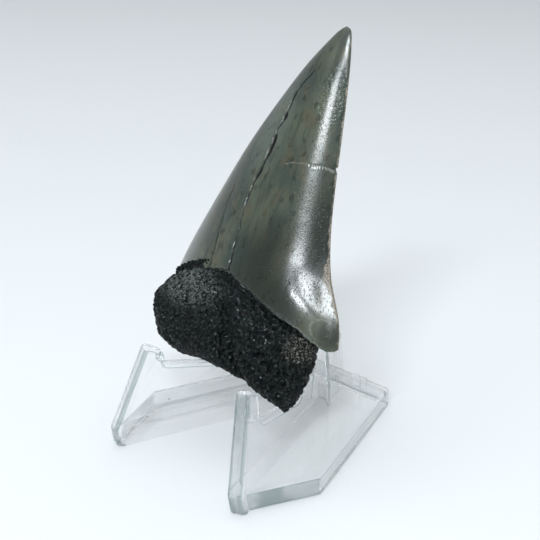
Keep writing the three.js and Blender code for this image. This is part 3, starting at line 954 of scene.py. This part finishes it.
across, up = root_grid(ROOT_COLUMNS, ROOT_ROWS)
inner = root_sheet(across, up, ROOT_INNER_BULGE, -1, 0.2, 0.66)
outer_across, outer_up = root_grid(ROOT_COLUMNS // 2, ROOT_ROWS)
outer = root_sheet(outer_across, outer_up, ROOT_OUTER_BULGE, 1, 0.62, 0.62)
points, faces = closed_sheets(inner, outer, 2)
# under_lip marks the band just under the crown's lip, which the material keeps in painted shade.
under_lip = np.concatenate([smooth(height, *UNDER_LIP).ravel() for height in (up, outer_up)])
root_mesh = sheet_mesh("porous_root", points, faces, {"under_lip": under_lip})

PORE_BLACK, GRAIN_BLACK = (0.001, 0.0015, 0.0015, 1), (0.008, 0.013, 0.013, 1)
DUST_PATCH, DUST_SHADE = ((-10.5, -5.5, 12.0), (10.0, 7.0, 4.5)), (0.15, 0.17, 0.16, 1)
# The brownish patch at the root's upper right is a painted sheen, for grains that glint there.
BROWN_SHEEN_PATCH, BROWN_SHEEN_COLOUR = ((10.8, -2.2, 8.6), (3.2, 5.0, 3.0)), (0.15, 0.143, 0.12, 1)

bone, graph, shader = new_material("fossil_root", {"Specular IOR Level": 0.12, "Coat Roughness": 0.16})
place = tooth_millimetres(graph)
pores = noise(graph, place, 2.2, 4.0)
grit = noise(graph, place, 4.5, 2.0)
# Painted shade: just under the crown's lip, as in the lip's shadow, the root is left black, without dust,
# brown sheen or glints.
lit = 1 - mark(graph, "under_lip")
dust = patch(graph, place, *DUST_PATCH) * graph.soft_step(grit, 0.36, 0.62)
dust = dust * graph.soft_step(pores, 0.35, 0.6) * lit
# Painted sheen: the brownish patch at the root's upper right stands for lit, glinting grains.
tan = patch(graph, place, *BROWN_SHEEN_PATCH) * graph.soft_step(grit, 0.46, 0.66) * lit
shade = graph.blend(graph.soft_step(pores, 0.4, 0.65), PORE_BLACK, GRAIN_BLACK)
shade = graph.blend(dust, shade, DUST_SHADE)
shade = graph.blend(tan * 0.9, shade, BROWN_SHEEN_COLOUR)
graph.feed(shader.inputs["Base Color"], shade)
graph.feed(shader.inputs["Roughness"], 0.35 + grit * 0.3)
tops = graph.soft_step(mark(graph, "grain_top"), 0.45, 0.9) * graph.soft_step(grit, 0.36, 0.58)
graph.feed(shader.inputs["Coat Weight"], tops * lit)
embossed(graph, shader, grit, 0.6, 0.1)


def pebbled(piece, settings):
    """Raises a skin of grains and sinks pores between them, along the piece's own normals."""
    tree = bpy.data.node_groups.new("pebbled_bone", "GeometryNodeTree")
    face = tree.interface
    face.new_socket("Geometry", in_out="INPUT", socket_type="NodeSocketGeometry")
    for name in ("Grain Size", "Grain Height", "Pore Size", "Pore Depth", "Seed"):
        face.new_socket(name, in_out="INPUT", socket_type="NodeSocketFloat")
    face.new_socket("Material", in_out="INPUT", socket_type="NodeSocketMaterial")
    face.new_socket("Geometry", in_out="OUTPUT", socket_type="NodeSocketGeometry")
    nodes = Graph(tree)
    entry = tree.nodes.new("NodeGroupInput")
    given = {socket.name: Socket(nodes, socket) for socket in entry.outputs}
    where = nodes.node("GeometryNodeInputPosition", {}, {}, "Position")
    normal = nodes.node("GeometryNodeInputNormal", {}, {}, "Normal")
    start = nodes.node("ShaderNodeVectorMath", {"operation": "ADD"}, [where, given["Seed"]], "Vector")
    grain = nodes.node("ShaderNodeTexVoronoi", {"voronoi_dimensions": "3D", "feature": "F1"}, {
        "Vector": start, "Scale": 1 / given["Grain Size"],
    }, "Distance")
    dome = 1 - grain * grain * 2.4
    hollows = nodes.node("ShaderNodeTexNoise", {"noise_dimensions": "4D"}, {
        "Vector": where, "W": given["Seed"], "Scale": 1 / given["Pore Size"], "Detail": 2.0,
    }, "Fac")
    pore = nodes.soft_step(hollows, 0.58, 0.72)
    height = dome * given["Grain Height"] - pore * given["Pore Depth"]
    offset = nodes.node("ShaderNodeVectorMath", {"operation": "SCALE"}, {
        "Vector": normal, "Scale": height,
    }, "Vector")
    moved = nodes.node("GeometryNodeSetPosition", {}, {
        "Geometry": given["Geometry"], "Offset": offset,
    }, "Geometry")
    noted = nodes.node("GeometryNodeStoreNamedAttribute", {"data_type": "FLOAT", "domain": "POINT"}, {
        "Geometry": moved, "Name": "grain_top", "Value": dome - pore,
    }, "Geometry")
    real = nodes.node("GeometryNodeRealizeInstances", {}, {"Geometry": noted}, "Geometry")
    painted = nodes.node("GeometryNodeSetMaterial", {}, {
        "Geometry": real, "Material": given["Material"],
    }, "Geometry")
    exit_node = tree.nodes.new("NodeGroupOutput")
    nodes.feed(exit_node.inputs[0], painted)
    skin = piece.modifiers.new("pebbled_bone", "NODES")
    skin.node_group = tree
    for socket in face.items_tree:
        if socket.in_out == "INPUT" and socket.name in settings:
            skin[socket.identifier] = settings[socket.name]
    depsgraph = bpy.context.evaluated_depsgraph_get()
    mesh = bpy.data.meshes.new_from_object(piece.evaluated_get(depsgraph))
    piece.modifiers.remove(skin)
    piece.data = mesh


root = mesh_object("porous_root", root_mesh, bone)
pebbled(root, {
    "Grain Size": 0.52 * MM, "Grain Height": 0.27 * MM, "Pore Size": 1.3 * MM, "Pore Depth": 0.3 * MM,
    "Seed": 7.0, "Material": bone,
})
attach(root, "root")
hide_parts("tooth")
